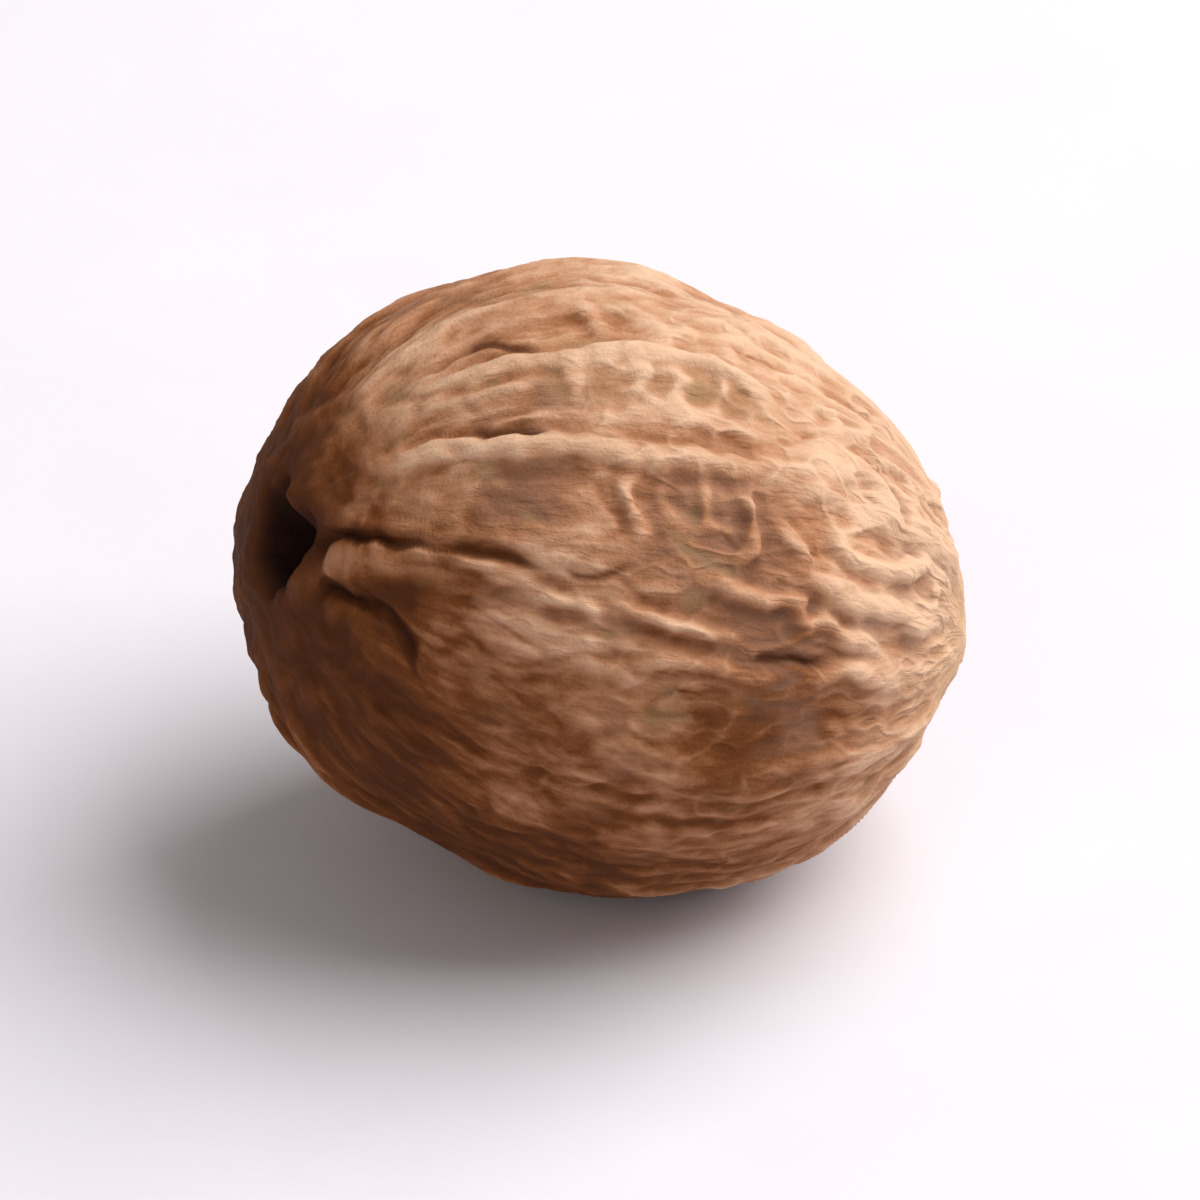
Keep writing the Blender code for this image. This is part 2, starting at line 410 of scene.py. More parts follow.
def along_curve(directions, points, radius, run_in, run_out):
    """How far each direction lies from a curve, and how much of the curve is there: it runs in
    over one share of its length and runs out over another."""
    curve = spline(points)
    steps = np.gradient(curve, axis=0)
    step_lengths = np.linalg.norm(steps, axis=1)
    nearest = (directions @ curve.T).argmax(axis=1)
    offset = directions - curve[nearest]
    forward = (offset * steps[nearest]).sum(axis=1) / step_lengths[nearest]
    away = np.sqrt(np.maximum((offset**2).sum(axis=1) - forward**2, 0.0)) * radius
    along = (nearest + forward / step_lengths[nearest]) / (len(curve) - 1)
    return away, smooth_step(0.0, run_in, along) * smooth_step(1.0, 1.0 - run_out, along)


def lowest_direction(half_size):
    """The direction, in the seed's own frame, of the point that the lying ovoid rests on."""
    down = (turned(**LIE) @ turned(**LEAN)).T @ (0, 0, -1)
    lowest = turned(**LEAN) @ (half_size**2 * down)
    return lowest / np.linalg.norm(lowest)


def spots(directions, places):
    """A value that is one over most of each (polar angle, azimuth, width) and fades off."""
    away = [angle_to(directions, direction(*place[:2])) / math.radians(place[2]) for place in places]
    return np.exp(-np.min(away, axis=0) ** 4)


def seed_form(directions, shape):
    """The seed's smooth form, as points in its own frame, and its marks, each a value from 0
    to 1 at every point."""
    half_size = np.array([shape.length, shape.depth, shape.height]) / 2
    girth = shape.depth / 2
    radius = 1 / np.linalg.norm(directions @ turned(**LEAN) / half_size, axis=1)
    for polar, azimuth, width, rise in LOBES:
        away = angle_to(directions, direction(polar, azimuth))
        radius = radius + rise * bell(away, math.radians(width))
    inner, outer = np.radians(SMOOTH_ROUND_SPOT)
    free = smooth_step(inner, outer, angle_to(directions, lowest_direction(half_size)))

    drawn_on = swayed(directions, 0.009)
    torn = swayed(directions, 0.030)
    patchy = patchiness(directions)
    ridge = np.zeros(len(directions))
    painted_trough_shade = np.zeros(len(directions))
    for points, half_width, rise in RIDGES:
        away, there = along_curve(drawn_on, points, girth, 0.35, 0.35)
        crest = there * mound(away, half_width * (0.8 + 0.5 * patchy)) * (0.6 + 0.5 * patchy)
        beside = there * bell(away - 2.1 * half_width, 0.8 * half_width)
        radius = radius + rise * (crest - 0.25 * beside)
        boldness = min(1.0, rise / BOLD_RISE) ** 0.5
        ridge = np.maximum(ridge, crest * boldness)
        # Painted shade in the trough beside each ridge, kept for the coat's colour.
        painted_trough_shade = np.maximum(painted_trough_shade, beside * boldness)

    hollow_dark_and_shade = np.zeros(len(directions))
    groove = np.zeros(len(directions))
    for points, half_width, depth, darkness in FURROWS:
        away, there = along_curve(drawn_on, points, girth, 0.15, 0.45)
        sunk = there * bell(away, half_width * (0.55 + 0.75 * patchy))
        lips = there * bell(away - 2.2 * half_width, half_width)
        radius = radius + depth * free * (0.15 * lips - sunk)
        groove = np.maximum(groove, sunk)
        # A furrow's darkness: its dark skin and painted shade.
        hollow_dark_and_shade = np.maximum(hollow_dark_and_shade, darkness * sunk)

    from_pit = angle_to(torn, direction(*CHALAZA)) * girth * (0.84 + 0.32 * patchy)
    pit = smooth_step(1.45 * shape.pit_radius, 0.40 * shape.pit_radius, from_pit)
    brim = bell(from_pit - 1.8 * shape.pit_radius, 0.5 * shape.pit_radius)
    radius = radius + shape.pit_depth * (0.12 * patchy * brim - pit)

    from_hilum = angle_to(directions, direction(*HILUM)) * girth
    boss = bell(from_hilum, shape.hilum_radius)
    ring = bell(from_hilum - 1.5 * shape.hilum_radius, 0.5 * shape.hilum_radius)
    scar = angle_to(torn, direction(*HILUM)) * girth * (0.7 + 0.6 * patchy)
    dimple = bell(scar, 0.11 * shape.hilum_radius)
    radius = radius + shape.hilum_rise * (boss - 0.5 * ring - 1.2 * dimple)
    # Painted shade in the hilum's dimple.
    hollow_dark_and_shade = np.maximum(hollow_dark_and_shade, 0.42 * dimple)

    moss = spots(drawn_on, MOSSY_SPOTS)
    near = smooth_step(4.6 * shape.pit_radius, 1.5 * shape.pit_radius, from_pit)
    near = np.maximum(near, smooth_step(1.6 * shape.hilum_radius, 0.3 * shape.hilum_radius, from_hilum))
    nearby = smooth_step(8.0 * shape.pit_radius, 2.0 * shape.pit_radius, from_pit)
    nearby = np.maximum(nearby, smooth_step(2.4 * shape.hilum_radius, 0.5 * shape.hilum_radius, from_hilum))
    covered = np.maximum.reduce([groove, 0.8 * ridge, 0.6 * moss])
    # The patches' tone, partly painted shade on the lower side.
    patches = sum(change * spots(drawn_on, (place,)) for *place, change in PATCHES_AND_PAINTED_SHADE)
    smoother = spots(drawn_on, SMOOTH_SPOTS)
    # The pit's halo: its red-brown skin, with painted shade on its rim.
    halo = smooth_step(3.0 * shape.pit_radius, 1.2 * shape.pit_radius, from_pit)
    marks = {
        "ends": nearby,
        "open": free * (1 - near) * (1 - covered),
        "smoother": smoother,
        "ridge": ridge,
        # Painted shade beside the ridges.
        "painted_trough_shade": painted_trough_shade * (1 - ridge),
        # Dark skin and painted shade in the furrows and the hilum's dimple.
        "hollow_dark_and_shade": hollow_dark_and_shade,
        # pit: painted shade inside the pit; the halo is partly painted shade.
        "pit": smooth_step(2.00 * shape.pit_radius, 0.80 * shape.pit_radius, from_pit),
        "pit_halo_and_shade": halo * (1 - 0.6 * ridge),
        "hilum": bell(from_hilum, 2.0 * shape.hilum_radius),
        "moss": moss,
        "dusk": spots(drawn_on, DUSKY_SPOTS),
        # patches: paler and darker tone, partly painted shade on the lower side.
        "patches": patches,
        # pale: painted light and shade, one toward the lit upper side and nothing on the lower side.
        "pale": (1 + directions @ direction(*PAINTED_LIGHT_CENTRE)) / 2,
    }
    return directions * radius[:, None], marks


def rib_wise(directions, radius):
    """Where each direction falls on a cylinder round the ribs' axis, unrolled along its polar
    angle, so that a pattern drawn there follows the ribs and closes up at both ends."""
    aimed = gathered(directions)
    azimuth = np.arctan2(aimed[:, 2], -aimed[:, 1])
    polar = np.arccos(np.clip(-aimed[:, 0], -1.0, 1.0))
    return radius * np.stack([np.cos(azimuth), np.sin(azimuth), polar], axis=1)


def cube_sphere(cells):
    """A sphere mesh of even quads: a cube's grid, eased so that its cells keep their size."""
    built = bmesh.new()
    bmesh.ops.create_cube(built, size=2.0)
    bmesh.ops.subdivide_edges(built, edges=built.edges[:], cuts=cells - 1, use_grid_fill=True)
    for vertex in built.verts:
        vertex.co = Vector(math.tan(c * math.pi / 4) for c in vertex.co).normalized()
    mesh = bpy.data.meshes.new("seed_form")
    built.to_mesh(mesh)
    built.free()
    return mesh


def points_of(mesh):
    """A mesh's vertices as an array."""
    points = np.empty(len(mesh.vertices) * 3, np.float32)
    mesh.vertices.foreach_get("co", points)
    return points.reshape(-1, 3).astype(float)


def move_points(mesh, points):
    """Set a mesh's vertices from an array."""
    mesh.vertices.foreach_set("co", np.ascontiguousarray(points, np.float32).ravel())
    mesh.update()


def smooth_seed(shape):
    """The seed's smooth form as a mesh that lies as the solid does, with its marks stored."""
    mesh = cube_sphere(shape.cells)
    directions = points_of(mesh)
    form, marks = seed_form(directions, shape)
    move_points(mesh, form @ turned(**LIE).T)
    for name, values in marks.items():
        stored = mesh.attributes.new(name, "FLOAT", "POINT")
        stored.data.foreach_set("value", values.astype(np.float32))
    unrolled = mesh.attributes.new("rib_wise", "FLOAT_VECTOR", "POINT")
    places = rib_wise(directions, shape.depth / 2)
    unrolled.data.foreach_set("vector", places.astype(np.float32).ravel())
    return mesh


class Wiring:
    """Adds nodes to a tree and joins them, so that each step of a formula is one line."""

    def __init__(self, tree):
        self.tree = tree

    def add(self, kind, inputs=(), **settings):
        """A new node with its settings, and its inputs by name or number."""
        node = self.tree.nodes.new(kind)
        for name, value in settings.items():
            setattr(node, name, value)
        for socket, value in dict(inputs).items():
            self.feed(node.inputs[socket], value)
        return node

    def feed(self, socket, value):
        """Join a socket to another, or set its value."""
        if isinstance(value, bpy.types.NodeSocket):
            self.tree.links.new(value, socket)
        else:
            socket.default_value = value

    def math(self, operation, *values):
        """One step of arithmetic."""
        return self.add("ShaderNodeMath", enumerate(values), operation=operation).outputs[0]

    def vector(self, operation, *values):
        """One step of vector arithmetic; a scale's factor is its fourth input."""
        return self.add("ShaderNodeVectorMath", enumerate(values), operation=operation).outputs[0]

    def scaled(self, vector, factor):
        """A vector times a number."""
        node = self.add("ShaderNodeVectorMath", {0: vector, "Scale": factor}, operation="SCALE")
        return node.outputs[0]

    def step(self, value, low, high, to_low=0.0, to_high=1.0):
        """A value eased from one number to another as it goes from low to high."""
        inputs = {"Value": value, "From Min": low, "From Max": high, "To Min": to_low, "To Max": to_high}
        return self.add("ShaderNodeMapRange", inputs, interpolation_type="SMOOTHSTEP").outputs[0]

    def noise(self, vector, size, detail=2.0, roughness=0.5):
        """Soft noise, about 0.5, whose blotches are of the given size."""
        inputs = {"Vector": vector, "Detail": detail, "Roughness": roughness}
        inputs["Scale"] = self.math("DIVIDE", 1.0, size)
        return self.add("ShaderNodeTexNoise", inputs).outputs["Fac"]

    def stray(self, vector, size, amount):
        """A vector pushed about by noise."""
        inputs = {"Vector": vector, "Scale": 1.0 / size, "Detail": 1.0}
        push = self.add("ShaderNodeTexNoise", inputs).outputs["Color"]
        push = self.vector("SUBTRACT", push, (0.5, 0.5, 0.5))
        return self.vector("ADD", vector, self.scaled(push, amount))

    def stripes(self, vector, orientation, size, straightness):
        """Soft stripes across an orientation that fork and break up, from about -1 to 1."""
        inputs = {"Vector": vector, "Frequency": STRIPES_PER_CELL, "Anisotropy": straightness}
        inputs["Scale"] = self.math("DIVIDE", 1.0 / STRIPES_PER_CELL, size)
        inputs["Orientation"] = orientation
        return self.add("ShaderNodeTexGabor", inputs, gabor_type="3D").outputs["Value"]

    def blend(self, share, low, high):
        """One number at no share and another at full share."""
        return self.add("ShaderNodeMix", {0: share, 2: low, 3: high}).outputs[0]

    def mixed(self, share, low, high):
        """One colour at no share and another at full share."""
        node = self.add("ShaderNodeMix", {0: share}, data_type="RGBA")
        for socket, colour in ((node.inputs[6], low), (node.inputs[7], high)):
            if isinstance(colour, bpy.types.NodeSocket):
                self.feed(socket, colour)
            else:
                self.feed(socket, (*colour, 1.0))
        return node.outputs[2]


def relief_names():
    """The names of the relief's settings."""
    return list(NutmegRelief.__annotations__)


def rib_wave(wiring, azimuth, place):
    """Long main ribs: one crest at a given azimuth, the others spaced evenly from it."""
    turn = wiring.math("SUBTRACT", azimuth, math.radians(MAIN_RIB_AT))
    turn = wiring.math("MULTIPLY", turn, MAIN_RIB_COUNT)
    wave = wiring.math("MULTIPLY_ADD", wiring.math("COSINE", turn), 0.5, 0.5)
    strength = wiring.step(wiring.noise(place, 0.0075, 1.0), 0.34, 0.62, 0.20, 1.0)
    return wiring.math("MULTIPLY", wiring.math("POWER", wave, 1.4), strength)


def winding_line(wiring, vector, size, width, shift):
    """Narrow lines that wind and close on themselves, drawn where a noise crosses its middle."""
    field = wiring.noise(wiring.vector("ADD", vector, shift), size, 0.6)
    from_middle = wiring.math("ABSOLUTE", wiring.math("SUBTRACT", field, 0.5))
    return wiring.step(from_middle, 0.0, width, 1.0, 0.0)


def network(wiring, strayed, spacing):
    """Ridges round cells that are longer than wide, joined by winding ones."""
    drawn_out = wiring.vector("MULTIPLY", strayed, (1.0, 1.0, 0.50))
    inputs = {"Vector": drawn_out, "Scale": wiring.math("DIVIDE", 1.0, spacing), "Randomness": 1.0}
    cells = wiring.add("ShaderNodeTexVoronoi", inputs, feature="DISTANCE_TO_EDGE")
    walls = wiring.step(cells.outputs["Distance"], 0.0, 0.24, 1.0, 0.0)
    broken = wiring.step(wiring.noise(strayed, 0.0026, 1.0), 0.40, 0.56)
    lines = winding_line(wiring, drawn_out, wiring.math("MULTIPLY", spacing, 1.25), 0.085, (0.1, 0.2, 0.3))
    return wiring.math("MAXIMUM", wiring.math("MULTIPLY", walls, broken), lines)


def relief_tree():
    """The node tree that raises ribs, veins and wrinkles on the smooth seed."""
    tree = bpy.data.node_groups.new("nutmeg_relief", "GeometryNodeTree")
    tree.interface.new_socket("Seed", in_out="INPUT", socket_type="NodeSocketGeometry")
    tree.interface.new_socket("Skin", in_out="INPUT", socket_type="NodeSocketMaterial")
    for name in relief_names():
        label = NutmegRelief.bl_rna.properties[name].name
        tree.interface.new_socket(label, in_out="INPUT", socket_type="NodeSocketFloat")
    tree.interface.new_socket("Nutmeg", in_out="OUTPUT", socket_type="NodeSocketGeometry")
    wiring = Wiring(tree)
    given = wiring.add("NodeGroupInput").outputs

    def named(name, kind="FLOAT"):
        node = wiring.add("GeometryNodeInputNamedAttribute", {"Name": name}, data_type=kind)
        return node.outputs[0]

    place = named("rib_wise", "FLOAT_VECTOR")
    leaning = wiring.stray(place, 0.0070, given["Wander"])
    strayed = wiring.stray(leaning, 0.0023, wiring.math("MULTIPLY", given["Wander"], 0.75))
    parts = wiring.add("ShaderNodeSeparateXYZ", {0: strayed}).outputs
    azimuth = wiring.math("ARCTAN2", parts["Y"], parts["X"])
    round_parts = {"X": wiring.math("MULTIPLY", parts["Y"], -1.0), "Y": parts["X"]}
    around = wiring.add("ShaderNodeCombineXYZ", round_parts).outputs[0]
    along = wiring.add("ShaderNodeSeparateXYZ", {0: place}).outputs["Z"]
    anywhere = wiring.add("GeometryNodeInputPosition").outputs[0]
    folds = wiring.noise(wiring.stray(anywhere, 0.0035, 0.0030), 0.0014, 2.0, 0.55)
    folds = wiring.math("MULTIPLY", wiring.math("SUBTRACT", folds, 0.5), named("ends"))

    rib = rib_wave(wiring, azimuth, place)
    long_place = wiring.vector("MULTIPLY", strayed, (1.0, 1.0, 0.36))
    veins = wiring.stripes(long_place, around, given["Vein Spacing"], 0.92)
    vein = wiring.step(veins, 0.05, 0.95)
    net = network(wiring, strayed, given["Net Spacing"])
    hilum_half = wiring.step(along, 0.0125, 0.0185, 0.22, 1.0)
    patches = wiring.step(wiring.noise(place, 0.0060, 1.0), 0.38, 0.60, 0.15, 1.0)
    net = wiring.math("MULTIPLY", net, wiring.math("MULTIPLY", hilum_half, patches))
    net = wiring.math("MULTIPLY", net, wiring.math("MULTIPLY_ADD", named("smoother"), -0.8, 1.0))
    drawn_out = wiring.vector("MULTIPLY", strayed, (1.0, 1.0, 0.35))
    wrinkles = wiring.noise(drawn_out, 0.00050, 2.0)
    crease = winding_line(wiring, drawn_out, given["Crease Spacing"], 0.10, (0.2, 0.1, 0.4))

    calm = wiring.step(named("ends"), 0.0, 1.0, 1.0, 0.25)
    calm = wiring.math("MULTIPLY", calm, named("open"))
    raised = wiring.math("MULTIPLY", wiring.math("SUBTRACT", rib, 0.35), given["Rib Height"])
    for value, middle, height in (
        (vein, 0.4, "Vein Height"), (net, 0.35, "Net Height"), (wrinkles, 0.5, "Wrinkle Height")
    ):
        over = wiring.math("SUBTRACT", value, middle)
        raised = wiring.math("MULTIPLY_ADD", over, given[height], raised)
    sunk = wiring.math("MULTIPLY", crease, given["Crease Depth"])
    raised = wiring.math("MULTIPLY", wiring.math("SUBTRACT", raised, sunk), calm)
    raised = wiring.math("MULTIPLY_ADD", folds, given["Fold Height"], raised)

    crest = wiring.math("MULTIPLY_ADD", rib, 0.34, wiring.math("MULTIPLY", vein, 0.40))
    crest = wiring.math("MULTIPLY_ADD", net, 0.52, crest)
    crest = wiring.math("MULTIPLY_ADD", wiring.math("SUBTRACT", wrinkles, 0.5), 0.80, crest)
    crest = wiring.math("MULTIPLY_ADD", crease, -0.24, crest)
    crest = wiring.math("MULTIPLY", crest, calm)
    crest = wiring.math("MULTIPLY_ADD", folds, 2.00, crest)
    crest = wiring.math("MULTIPLY_ADD", named("ridge"), 0.72, crest)
    # Painted shade in the troughs beside the single ridges.
    crest = wiring.math("MULTIPLY_ADD", named("painted_trough_shade"), -0.36, crest)

    normal = wiring.add("GeometryNodeInputNormal").outputs[0]
    inputs = {"Geometry": given["Seed"], "Offset": wiring.scaled(normal, raised)}
    moved = wiring.add("GeometryNodeSetPosition", inputs)
    inputs = {"Geometry": moved.outputs[0], "Name": "crest", "Value": crest}
    stored = wiring.add("GeometryNodeStoreNamedAttribute", inputs, data_type="FLOAT")
    whole = wiring.add("GeometryNodeRealizeInstances", {"Geometry": stored.outputs[0]})
    inputs = {"Geometry": whole.outputs[0], "Material": given["Skin"]}
    skinned = wiring.add("GeometryNodeSetMaterial", inputs)
    wiring.add("NodeGroupOutput", {0: skinned.outputs[0]})
    return tree


def mottle_group():
    """A shader node group for soft blotches of a given size, from about -0.5 to 0.5."""
    tree = bpy.data.node_groups.new("mottle", "ShaderNodeTree")
    tree.interface.new_socket("Vector", in_out="INPUT", socket_type="NodeSocketVector")
    for name in ("Size", "Detail", "Roughness"):
        tree.interface.new_socket(name, in_out="INPUT", socket_type="NodeSocketFloat")
    tree.interface.new_socket("Change", in_out="OUTPUT", socket_type="NodeSocketFloat")
    wiring = Wiring(tree)
    given = wiring.add("NodeGroupInput").outputs
    noise = wiring.noise(*(given[name] for name in ("Vector", "Size", "Detail", "Roughness")))
    wiring.add("NodeGroupOutput", {0: wiring.math("SUBTRACT", noise, 0.5)})
    return tree


def skin_material(colours, group):
    """The dry seed coat: pale on its crests, red-brown in its valleys, with painted light on its upper side and
    painted shade on its lower side, beside its ridges, in its furrows and in its pit.
    """
    material = bpy.data.materials.new("nutmeg_skin")
    material.use_nodes = True
    shader = material.node_tree.nodes["Principled BSDF"]
    wiring = Wiring(material.node_tree)

    def mark(name):
        return wiring.add("ShaderNodeAttribute", attribute_name=name).outputs["Fac"]

    def mottle(vector, size, detail, roughness):
        inputs = {"Vector": vector, "Size": size, "Detail": detail, "Roughness": roughness}
        return wiring.add("ShaderNodeGroup", inputs, node_tree=group).outputs[0]

    def total(start, *parts):
        for value, share in parts:
            start = wiring.math("MULTIPLY_ADD", value, share, start)
        return start

    place = wiring.add("ShaderNodeAttribute", attribute_name="rib_wise").outputs["Vector"]
    anywhere = wiring.add("ShaderNodeTexCoord").outputs["Object"]
    crooked = wiring.stray(place, 0.0009, 0.0005)
    drawn_out = wiring.vector("MULTIPLY", crooked, (1.0, 1.0, 0.19))
    streaks = mottle(drawn_out, 0.00030, 3.0, 0.65)
    hairs = winding_line(wiring, drawn_out, 0.00055, 0.07, (0.3, 0.1, 0.2))
    hairs = wiring.math("MULTIPLY", hairs, wiring.step(wiring.noise(place, 0.0016, 1.0), 0.44, 0.60))
    blotches = (mottle(vector, 0.0014, 4.0, 0.65) for vector in (crooked, anywhere))
    blotches = wiring.blend(mark("ends"), *blotches)
    broad = mottle(place, 0.0065, 2.0, 0.5)
    gently = wiring.stray(place, 0.0030, 0.0012)
    bands = mottle(wiring.vector("MULTIPLY", gently, (1.0, 1.0, 0.13)), 0.00070, 2.0, 0.55)
    grain = mottle(anywhere, 0.00014, 3.0, 0.7)
    along = wiring.math("SUBTRACT", 1.0, mark("ends"))
    winding = wiring.vector("MULTIPLY", wiring.stray(place, 0.0016, 0.0010), (1.0, 1.0, 0.55))
    threads = winding_line(wiring, winding, 0.00100, 0.11, (0.2, 0.3, 0.1))
    hilum_half = wiring.add("ShaderNodeSeparateXYZ", {0: place}).outputs["Z"]
    hilum_half = wiring.step(hilum_half, 0.0100, 0.0165, 0.15, 1.0)
    threads = wiring.math("MULTIPLY", wiring.math("MULTIPLY", threads, hilum_half), along)

    lines = total(0.0, (streaks, 0.46), (bands, 0.46), (hairs, -0.07))
    lines = total(wiring.math("MULTIPLY", lines, along), (blotches, 0.22))
    lively = wiring.step(mark("pale"), 0.12, 0.60, 1.15, 0.70)
    shown = wiring.step(mark("pale"), 0.20, 0.85, 0.80, 0.55)
    # Painted light and shade: the tone rises toward the lit upper side and falls on the lower side.
    tone = wiring.step(mark("pale"), 0.12, 0.90, -0.27, 0.46)
    tone = total(
        tone, (mark("patches"), 1.0), (mark("dusk"), -0.16), (mark("crest"), shown),
        (broad, 0.36), (grain, 0.22), (lines, lively), (threads, 0.13),
    )
    colour = wiring.mixed(wiring.step(tone, -0.35, 0.22), colours.valley, colours.deep)
    colour = wiring.mixed(wiring.step(tone, 0.02, 0.60), colour, colours.coat)
    colour = wiring.mixed(wiring.step(tone, 0.40, 0.98), colour, colours.crest)

    low_ground = wiring.step(mark("crest"), 0.45, 0.10)
    low_ground = wiring.math("MULTIPLY", low_ground, wiring.step(mark("pale"), 0.25, 0.65))
    dusky = wiring.step(wiring.noise(place, 0.0042, 2.0), 0.52, 0.66, 0.0, 0.45)
    dusky = wiring.math("MAXIMUM", dusky, wiring.math("MULTIPLY", mark("dusk"), 0.55))
    colour = wiring.mixed(wiring.math("MULTIPLY", dusky, low_ground), colour, colours.dusk)
    shifted = wiring.vector("ADD", place, (0.05, 0.02, 0.01))
    mossy = wiring.step(wiring.noise(shifted, 0.0020, 2.0), 0.58, 0.70, 0.0, 0.55)
    mossy = wiring.math("MAXIMUM", mossy, wiring.math("MULTIPLY", mark("moss"), 0.30))
    colour = wiring.mixed(wiring.math("MULTIPLY", mossy, low_ground), colour, colours.moss)
    colour = wiring.mixed(wiring.math("MULTIPLY", mark("hilum"), 0.65), colour, colours.hilum)
    # Painted shade over the skin's own red-brown: the furrows and the pit's halo go toward the valley colour.
    dark = wiring.math("MAXIMUM", mark("pit_halo_and_shade"), wiring.step(mark("hollow_dark_and_shade"), 0.05, 0.42))
    colour = wiring.mixed(wiring.math("MULTIPLY", dark, 0.88), colour, colours.valley)
    # Painted shade: the pit and the deepest slits go near black.
    dark = wiring.math("MAXIMUM", mark("pit"), wiring.math("MULTIPLY", mark("hollow_dark_and_shade"), 0.80))
    colour = wiring.mixed(wiring.step(dark, 0.35, 0.95), colour, colours.pit)
    wiring.feed(shader.inputs["Base Color"], colour)
    wiring.feed(shader.inputs["Roughness"], wiring.step(tone, 0.0, 1.0, 0.80, 0.60))
    shader.inputs["Specular IOR Level"].default_value = 0.11

    surface = wiring.math("MULTIPLY", total(0.0, (streaks, 1.3), (bands, 1.6)), along)
    surface = total(surface, (grain, 0.65), (hairs, -0.22), (blotches, 0.8), (threads, 0.9))
    inputs = {"Height": surface, "Strength": 0.65, "Distance": 0.00011}
    wiring.feed(shader.inputs["Normal"], wiring.add("ShaderNodeBump", inputs).outputs[0])
    return material


def apply_relief(seed, tree, material, relief):
    """Run the relief tree on the smooth seed and keep the result as a plain mesh."""
    modifier = seed.modifiers.new("relief", "NODES")
    modifier.node_group = tree
    identifiers = {item.name: item.identifier for item in tree.interface.items_tree}
    modifier[identifiers["Skin"]] = material
    for name in relief_names():
        modifier[identifiers[relief.bl_rna.properties[name].name]] = getattr(relief, name)
    bpy.context.view_layer.update()
    evaluated = seed.evaluated_get(bpy.context.evaluated_depsgraph_get())
    mesh = bpy.data.meshes.new_from_object(evaluated)
    seed.modifiers.remove(modifier)
    return mesh


def settle(mesh):
    """Place the seed on the solid it stands for, with its foot worn flat at the floor."""
    low, high = (np.array(corner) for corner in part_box("nutmeg"))
    points = points_of(mesh)
    middle = (points.min(axis=0) + points.max(axis=0)) / 2
    points[:, :2] += ((low + high) / 2 - middle)[:2]
    points[:, 2] += high[2] - points[:, 2].max()
    points[:, 2] = np.maximum(points[:, 2], low[2])
    move_points(mesh, points)


class NUTMEG_OT_grow_seed(bpy.types.Operator):
    """Grow the whole nutmeg: its form, its ribs and veins, and its dry brown coat"""

    bl_idname = "nutmeg.grow_seed"
    bl_label = "Grow Seed"

    def execute(self, context):
        settings = context.scene
        material = skin_material(settings.nutmeg_colours, mottle_group())
        seed = bpy.data.objects.new("nutmeg_seed", smooth_seed(settings.nutmeg_shape))
        context.scene.collection.objects.link(seed)
        mesh = apply_relief(seed, relief_tree(), material, settings.nutmeg_relief)
        settle(mesh)
        mesh.shade_smooth()
        seed.data = mesh
        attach(seed, "root")
        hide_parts("nutmeg")
        return {"FINISHED"}


def aimed(location, target):
    """The rotation that points a camera or a light from a place at a target."""
    return (Vector(target) - Vector(location)).to_track_quat("-Z", "Y").to_euler()


def add_light(name, location, target, size, power, colour=(1.0, 1.0, 1.0)):
    """A square soft light, aimed at a target."""
    light = bpy.data.lights.new(name, "AREA")
    light.size = size
    light.energy = power
    light.color = colour
    lamp = bpy.data.objects.new(name, light)
    lamp.location = location
    lamp.rotation_euler = aimed(location, target)
    bpy.context.scene.collection.objects.link(lamp)


class NUTMEG_OT_set_studio(bpy.types.Operator):
    """Set the pale floor, the soft lights and the camera"""

    bl_idname = "nutmeg.set_studio"
    bl_label = "Set Studio"

    def execute(self, context):
        scene = context.scene
        studio = scene.nutmeg_studio
        low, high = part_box("nutmeg")
        middle = (low + high) / 2

        floor = bpy.data.objects.new("studio_floor", floor_mesh(3.0, low.z))
        scene.collection.objects.link(floor)
        group = bpy.data.node_groups["mottle"]
        floor.data.materials.append(floor_material(scene.nutmeg_colours.floor, group))
        floor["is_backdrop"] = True

        add_light("key", middle + Vector((0.38, 0.12, 0.50)), middle, 0.66, studio.key_power)
        add_light(
            "fill", middle + Vector((-0.35, -0.55, 0.35)), middle, 0.50, studio.fill_power, FILL_TINT
        )
        world = bpy.data.worlds.new("studio_sky")
        world.use_nodes = True
        world.node_tree.nodes["Background"].inputs["Color"].default_value = (*SKY_TINT, 1.0)
        world.node_tree.nodes["Background"].inputs["Strength"].default_value = studio.sky
        scene.world = world

        camera = bpy.data.cameras.new("camera")
        camera.lens = camera.sensor_width * studio.distance / studio.view_width
        camera.clip_start = 0.01
        camera.clip_end = 10.0
        seat = bpy.data.objects.new("camera", camera)
        level = math.cos(studio.elevation)
        back = Vector(
            (math.sin(studio.azimuth) * level, -math.cos(studio.azimuth) * level, math.sin(studio.elevation))
        )
        target = middle - Vector((0.0, 0.0, 0.001))
        seat.location = target + back * studio.distance
        seat.rotation_euler = aimed(seat.location, target)
        scene.collection.objects.link(seat)
        scene.camera = seat
        scene.view_settings.view_transform = "Standard"
        return {"FINISHED"}


def floor_mesh(half_side, height):
    """A wide level square."""
    mesh = bpy.data.meshes.new("studio_floor")
    corners = [(-half_side, -half_side), (half_side, -half_side), (half_side, half_side), (-half_side, half_side)]
    mesh.from_pydata([(x, y, height) for x, y in corners], [], [(0, 1, 2, 3)])
    return mesh


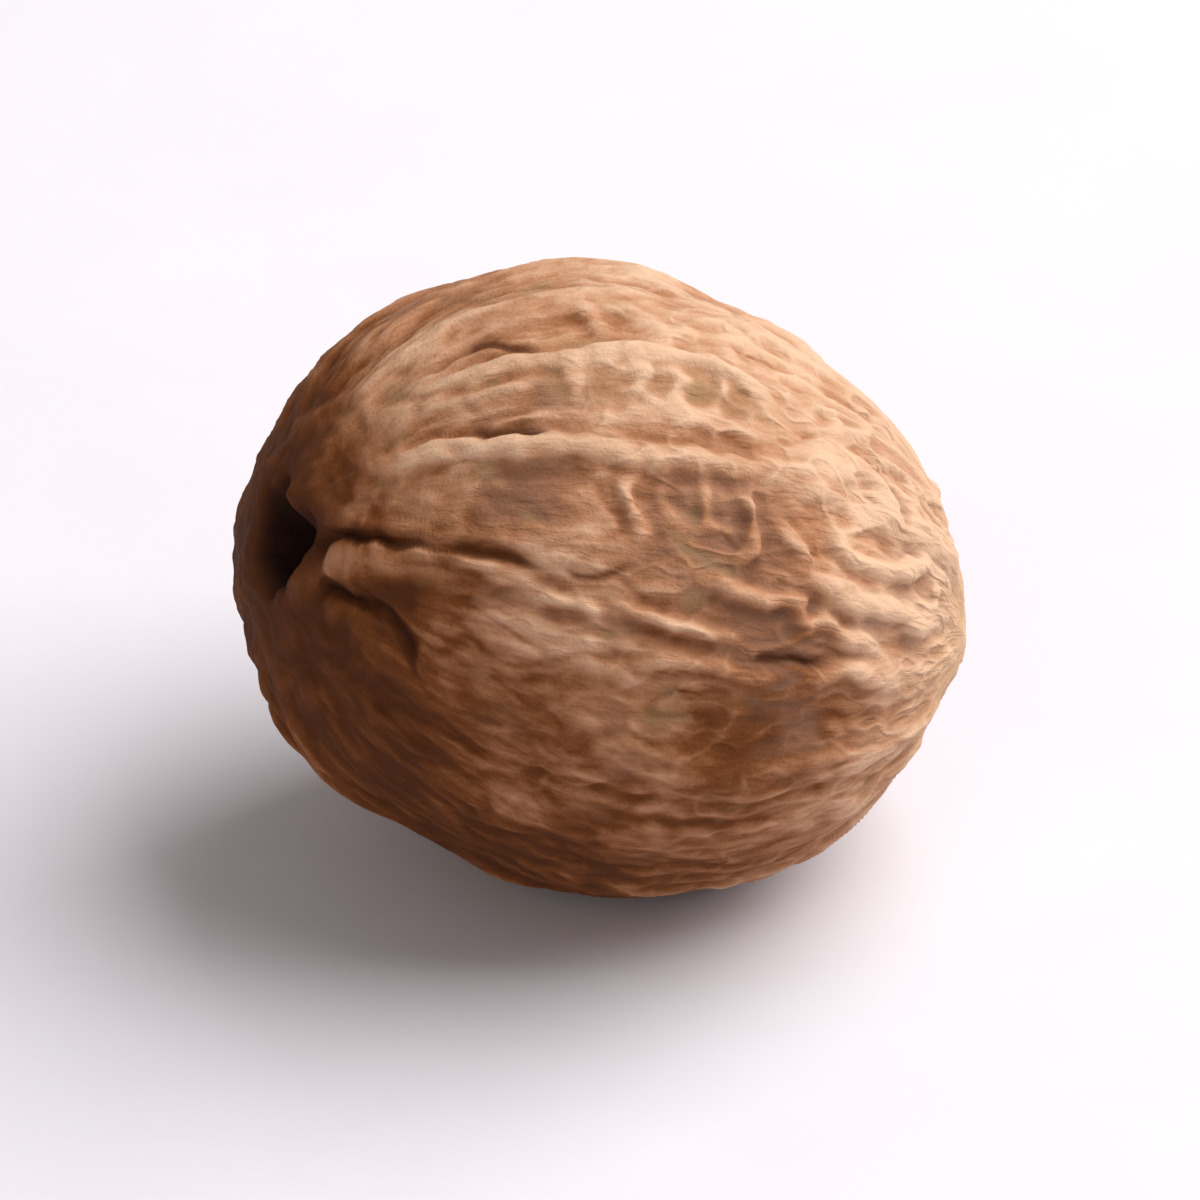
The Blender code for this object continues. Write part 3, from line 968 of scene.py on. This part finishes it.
def floor_material(colour, group):
    """Smooth pale board with a faint mottle and sheen."""
    material = bpy.data.materials.new("pale_floor")
    material.use_nodes = True
    shader = material.node_tree.nodes["Principled BSDF"]
    wiring = Wiring(material.node_tree)
    place = wiring.add("ShaderNodeTexCoord").outputs["Object"]
    inputs = {"Vector": place, "Size": 0.0100, "Detail": 4.0, "Roughness": 0.6}
    mottle = wiring.add("ShaderNodeGroup", inputs, node_tree=group).outputs[0]
    duller = tuple(0.975 * part for part in colour)
    shade = wiring.mixed(wiring.step(mottle, -0.2, 0.2), duller, tuple(colour))
    wiring.feed(shader.inputs["Base Color"], shade)
    shader.inputs["Roughness"].default_value = 0.6
    shader.inputs["Specular IOR Level"].default_value = 0.25
    return material


class NUTMEG_PT_sidebar(bpy.types.Panel):
    """Lists the nutmeg's settings and the steps that build it"""

    bl_label = "Whole Nutmeg"
    bl_idname = "NUTMEG_PT_sidebar"
    bl_space_type = "VIEW_3D"
    bl_region_type = "UI"
    bl_category = "Nutmeg"

    def draw(self, context):
        scene = context.scene
        for group in (scene.nutmeg_shape, scene.nutmeg_relief, scene.nutmeg_colours, scene.nutmeg_studio):
            for name in type(group).__annotations__:
                self.layout.prop(group, name)
        self.layout.operator("nutmeg.grow_seed")
        self.layout.operator("nutmeg.set_studio")


GROUPS = {
    "nutmeg_shape": NutmegShape,
    "nutmeg_relief": NutmegRelief,
    "nutmeg_colours": NutmegColours,
    "nutmeg_studio": NutmegStudio,
}
CLASSES = (*GROUPS.values(), NUTMEG_OT_grow_seed, NUTMEG_OT_set_studio, NUTMEG_PT_sidebar)


def register():
    for cls in CLASSES:
        bpy.utils.register_class(cls)
    for name, group in GROUPS.items():
        setattr(bpy.types.Scene, name, PointerProperty(type=group))


def unregister():
    for name in GROUPS:
        delattr(bpy.types.Scene, name)
    for cls in reversed(CLASSES):
        bpy.utils.unregister_class(cls)


def main():
    register()
    bpy.ops.nutmeg.grow_seed()
    bpy.ops.nutmeg.set_studio()
    boxes = {"cad": CAD_BOX, "visual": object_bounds()}
    {name: [list(corner) for corner in box] for name, box in boxes.items()}


if __name__ == "__main__":
    main()
